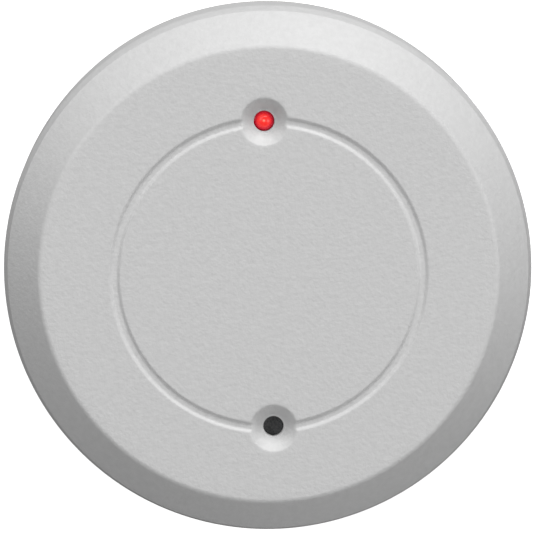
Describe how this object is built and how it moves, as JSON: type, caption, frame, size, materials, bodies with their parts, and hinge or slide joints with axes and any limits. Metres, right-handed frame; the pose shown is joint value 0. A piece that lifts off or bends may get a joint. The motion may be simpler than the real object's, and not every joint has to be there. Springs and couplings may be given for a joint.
{
  "type": "glass-break detector",
  "caption": "Low-profile round alarm detector: clip-on cover with indicator light and sensing port over a base with board, relay, terminals and tamper switch.",
  "frame": {"origin": "centre of the flat back face that rests on the wall or ceiling", "axes": "+Z away from the wall, out of the front face; +Y from the sensing port towards the indicator light; +X to the right as seen from the front"},
  "size_m": [0.086, 0.086, 0.021],
  "materials": {
    "cover_plastic": "matte, fine spark-eroded texture",
    "base_plastic": "matte, fine spark-eroded texture",
    "label_film": "satin silver polyester film",
    "board_laminate": "glass-epoxy laminate under green solder mask",
    "screw_steel": "nickel-plated steel",
    "terminal_plastic": "satin green moulding",
    "tinned_copper": "tinned, slightly dull",
    "cage_brass": "nickel-washed brass",
    "contact_brass": "spring bronze",
    "relay_base_plastic": "matte",
    "relay_case_plastic": "satin cream moulding",
    "black_plastic": "satin black moulding",
    "white_plastic": "satin white moulding",
    "switch_plastic": "satin red moulding",
    "enamelled_wire": "copper under clear enamel",
    "magnet_iron": "zinc-plated soft iron",
    "red_lens": "tinted diffused epoxy, lit",
    "spacer_plastic": "natural nylon",
    "capsule_metal": "drawn, satin",
    "black_felt": "pressed felt",
    "soft_rubber": "matte black",
    "spring_steel": "drawn wire",
    "moulding_black": "mould-grained epoxy",
    "capacitor_sleeve": "shrunk vinyl sleeve on aluminium",
    "varistor_blue": "dipped epoxy",
    "chip_black": "glazed film on ceramic",
    "chip_tan": "fired ceramic"
  },
  "bodies": {
    "base": {"mounting_base": "base_plastic", "cover_latches": "base_plastic", "rear_label": "label_film", "circuit_board": "board_laminate", "board_screws": "screw_steel", "terminal_housing": "terminal_plastic", "terminal_pins": "tinned_copper", "relay_base": "relay_base_plastic", "relay_case": "relay_case_plastic", "relay_pins": "tinned_copper", "relay_bobbin": "black_plastic", "relay_coil": "enamelled_wire", "relay_yoke": "magnet_iron", "relay_contacts": "contact_brass", "switch_body": "switch_plastic", "switch_pins": "tinned_copper", "led_lens": "red_lens", "led_leads": "tinned_copper", "led_spacer": "spacer_plastic", "microphone_capsule": "capsule_metal", "microphone_felt": "black_felt", "microphone_boot": "soft_rubber", "microphone_leads": "tinned_copper", "tamper_body": "black_plastic", "tamper_pins": "tinned_copper", "tamper_spring": "spring_steel", "controller_body": "moulding_black", "controller_leads": "tinned_copper", "amplifier_body": "moulding_black", "amplifier_leads": "tinned_copper", "can_capacitors": "capacitor_sleeve", "radial_leads": "tinned_copper", "regulator_body": "moulding_black", "varistor_disc": "varistor_blue", "crystal_can": "capsule_metal", "surge_diodes": "moulding_black", "chip_resistors": "chip_black", "chip_capacitors": "chip_tan"},
    "cover": {"front_cover": "cover_plastic"},
    "tamper_button": {"tamper_plunger": "white_plastic"},
    "armature": {"relay_armature": "magnet_iron"},
    "slider_1": {"switch_slider_1": "white_plastic"},
    "slider_2": {"switch_slider_2": "white_plastic"},
    "slider_3": {"switch_slider_3": "white_plastic"},
    "slider_4": {"switch_slider_4": "white_plastic"},
    "screw_1": {"terminal_screw_1": "screw_steel"},
    "cage_1": {"terminal_cage_1": "cage_brass"},
    "screw_2": {"terminal_screw_2": "screw_steel"},
    "cage_2": {"terminal_cage_2": "cage_brass"},
    "screw_3": {"terminal_screw_3": "screw_steel"},
    "cage_3": {"terminal_cage_3": "cage_brass"},
    "screw_4": {"terminal_screw_4": "screw_steel"},
    "cage_4": {"terminal_cage_4": "cage_brass"},
    "screw_5": {"terminal_screw_5": "screw_steel"},
    "cage_5": {"terminal_cage_5": "cage_brass"},
    "screw_6": {"terminal_screw_6": "screw_steel"},
    "cage_6": {"terminal_cage_6": "cage_brass"},
    "screw_7": {"terminal_screw_7": "screw_steel"},
    "cage_7": {"terminal_cage_7": "cage_brass"}
  },
  "joints": [
    {"name": "cover_pull_off", "type": "slide", "parent": "base", "child": "cover", "axis": [0, 0, 1], "range_m": [0, 0.06], "deforming": ["cover_latches"]},
    {"name": "tamper_plunger_rise", "type": "slide", "parent": "base", "child": "tamper_button", "axis": [0, 0, 1], "range_m": [0, 0.002], "deforming": ["tamper_spring"]},
    {"name": "relay_armature_pull", "type": "hinge", "parent": "base", "child": "armature", "pos_m": [0.0155, 0.00725, 0.0161], "axis": [-1, 0, 0], "range_deg": [0, 2.5], "stiffness_Nm_per_rad": 0.00012, "springref_deg": -2.86},
    {"name": "switch_slide_1", "type": "slide", "parent": "base", "child": "slider_1", "axis": [0, -1, 0], "range_m": [0, 0.002]},
    {"name": "switch_slide_2", "type": "slide", "parent": "base", "child": "slider_2", "axis": [0, 1, 0], "range_m": [0, 0.002]},
    {"name": "switch_slide_3", "type": "slide", "parent": "base", "child": "slider_3", "axis": [0, -1, 0], "range_m": [0, 0.002]},
    {"name": "switch_slide_4", "type": "slide", "parent": "base", "child": "slider_4", "axis": [0, 1, 0], "range_m": [0, 0.002]},
    {"name": "terminal_screw_turn_1", "type": "hinge", "parent": "base", "child": "screw_1", "pos_m": [-0.0066, -0.01524, 0.0159], "axis": [0, 0, -1], "range_deg": [0, 1281]},
    {"name": "terminal_cage_rise_1", "type": "slide", "parent": "base", "child": "cage_1", "axis": [0, 0, 1], "range_m": [0, 0.0016]},
    {"name": "terminal_screw_turn_2", "type": "hinge", "parent": "base", "child": "screw_2", "pos_m": [-0.0066, -0.01016, 0.0159], "axis": [0, 0, -1], "range_deg": [0, 1281]},
    {"name": "terminal_cage_rise_2", "type": "slide", "parent": "base", "child": "cage_2", "axis": [0, 0, 1], "range_m": [0, 0.0016]},
    {"name": "terminal_screw_turn_3", "type": "hinge", "parent": "base", "child": "screw_3", "pos_m": [-0.0066, -0.00508, 0.0159], "axis": [0, 0, -1], "range_deg": [0, 1281]},
    {"name": "terminal_cage_rise_3", "type": "slide", "parent": "base", "child": "cage_3", "axis": [0, 0, 1], "range_m": [0, 0.0016]},
    {"name": "terminal_screw_turn_4", "type": "hinge", "parent": "base", "child": "screw_4", "pos_m": [-0.0066, 0, 0.0159], "axis": [0, 0, -1], "range_deg": [0, 1281]},
    {"name": "terminal_cage_rise_4", "type": "slide", "parent": "base", "child": "cage_4", "axis": [0, 0, 1], "range_m": [0, 0.0016]},
    {"name": "terminal_screw_turn_5", "type": "hinge", "parent": "base", "child": "screw_5", "pos_m": [-0.0066, 0.00508, 0.0159], "axis": [0, 0, -1], "range_deg": [0, 1281]},
    {"name": "terminal_cage_rise_5", "type": "slide", "parent": "base", "child": "cage_5", "axis": [0, 0, 1], "range_m": [0, 0.0016]},
    {"name": "terminal_screw_turn_6", "type": "hinge", "parent": "base", "child": "screw_6", "pos_m": [-0.0066, 0.01016, 0.0159], "axis": [0, 0, -1], "range_deg": [0, 1281]},
    {"name": "terminal_cage_rise_6", "type": "slide", "parent": "base", "child": "cage_6", "axis": [0, 0, 1], "range_m": [0, 0.0016]},
    {"name": "terminal_screw_turn_7", "type": "hinge", "parent": "base", "child": "screw_7", "pos_m": [-0.0066, 0.01524, 0.0159], "axis": [0, 0, -1], "range_deg": [0, 1281]},
    {"name": "terminal_cage_rise_7", "type": "slide", "parent": "base", "child": "cage_7", "axis": [0, 0, 1], "range_m": [0, 0.0016]}
  ],
  "couplings": [
    {"joint": "tamper_plunger_rise", "follows": "cover_pull_off", "ratio": 0.033333},
    {"joint": "terminal_screw_turn_1", "follows": "terminal_cage_rise_1", "rad_per_m": 13963},
    {"joint": "terminal_screw_turn_2", "follows": "terminal_cage_rise_2", "rad_per_m": 13963},
    {"joint": "terminal_screw_turn_3", "follows": "terminal_cage_rise_3", "rad_per_m": 13963},
    {"joint": "terminal_screw_turn_4", "follows": "terminal_cage_rise_4", "rad_per_m": 13963},
    {"joint": "terminal_screw_turn_5", "follows": "terminal_cage_rise_5", "rad_per_m": 13963},
    {"joint": "terminal_screw_turn_6", "follows": "terminal_cage_rise_6", "rad_per_m": 13963},
    {"joint": "terminal_screw_turn_7", "follows": "terminal_cage_rise_7", "rad_per_m": 13963}
  ]
}
